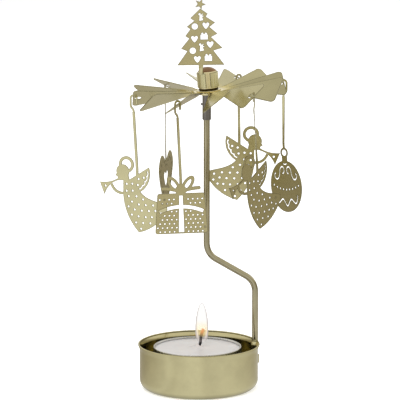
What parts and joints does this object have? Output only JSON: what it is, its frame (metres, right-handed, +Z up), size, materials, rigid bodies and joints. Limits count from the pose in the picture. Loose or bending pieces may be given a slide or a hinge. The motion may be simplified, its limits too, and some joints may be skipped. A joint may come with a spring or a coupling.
{
  "type": "rotary tealight carousel",
  "caption": "Candle carousel: a tealight cup with a bent rod, and a pitched-blade wheel on a needle that turns in the rising heat with stamped ornaments hanging from its blades.",
  "frame": {"origin": "centre of the cup's flat base, on the surface that it stands on", "axes": "+Z up; +X from the cup's axis towards the rod"},
  "size_m": [0.0823, 0.0812, 0.17],
  "materials": {
    "cup_brass": "brass plate on drawn sheet, bright satin",
    "rod_brass": "brass plate on drawn wire, bright",
    "sheet_brass": "brass plate on stamped sheet, satin",
    "cap_brass": "brass plate on a drawn cap, bright",
    "sleeve_steel": "dull grey plated tube",
    "needle_steel": "hardened steel",
    "shell_aluminium": "bright drawn foil",
    "wax": "white candle wax, waxy",
    "wick_cotton": "charred cotton",
    "wick_tin": "stamped tin"
  },
  "bodies": {
    "stand": {"candle_cup": "cup_brass", "rod": "rod_brass", "needle_sleeve": "sleeve_steel", "sleeve_pin": "needle_steel", "needle": "needle_steel"},
    "tealight": {"tealight_shell": "shell_aluminium", "tealight_wax": "wax", "wick": "wick_cotton", "wick_base": "wick_tin"},
    "rotor": {"fan_wheel": "sheet_brass", "pivot_cap": "cap_brass", "hub_washer": "cap_brass", "tree_topper": "sheet_brass"},
    "angel_left": {"angel_left": "sheet_brass"},
    "angel_front": {"angel_front": "sheet_brass"},
    "angel_back": {"angel_back": "sheet_brass"},
    "gift": {"gift": "sheet_brass"},
    "bauble": {"bauble": "sheet_brass"},
    "heart": {"heart": "sheet_brass"}
  },
  "joints": [
    {"name": "tealight_lift", "type": "slide", "parent": "stand", "child": "tealight", "axis": [0, 0, 1], "range_m": [0, 0.024]},
    {"name": "rotor_spin", "type": "hinge", "parent": "stand", "child": "rotor", "pos_m": [0.00355, 0, 0.1398], "axis": [0, 0, 1], "continuous": true},
    {"name": "angel_left_swing", "type": "hinge", "parent": "rotor", "child": "angel_left", "pos_m": [-0.02711, 0.00645, 0.12726], "axis": [-0.6018, -0.7986, 0], "range_deg": [-15, 8]},
    {"name": "angel_front_swing", "type": "hinge", "parent": "rotor", "child": "angel_front", "pos_m": [0.01424, -0.03097, 0.13171], "axis": [0.9925, -0.1219, 0], "range_deg": [-15, 8]},
    {"name": "angel_back_swing", "type": "hinge", "parent": "rotor", "child": "angel_back", "pos_m": [0.02595, 0.02373, 0.13121], "axis": [-0.3907, 0.9205, 0], "range_deg": [-15, 8]},
    {"name": "gift_swing", "type": "hinge", "parent": "rotor", "child": "gift", "pos_m": [-0.01723, -0.02426, 0.12891], "axis": [0.3907, -0.9205, 0], "range_deg": [-15, 8]},
    {"name": "bauble_swing", "type": "hinge", "parent": "rotor", "child": "bauble", "pos_m": [0.03583, -0.00698, 0.13286], "axis": [0.6018, 0.7986, 0], "range_deg": [-15, 8]},
    {"name": "heart_swing", "type": "hinge", "parent": "rotor", "child": "heart", "pos_m": [-0.00552, 0.03044, 0.12841], "axis": [-0.9925, 0.1219, 0], "range_deg": [-15, 8]}
  ]
}
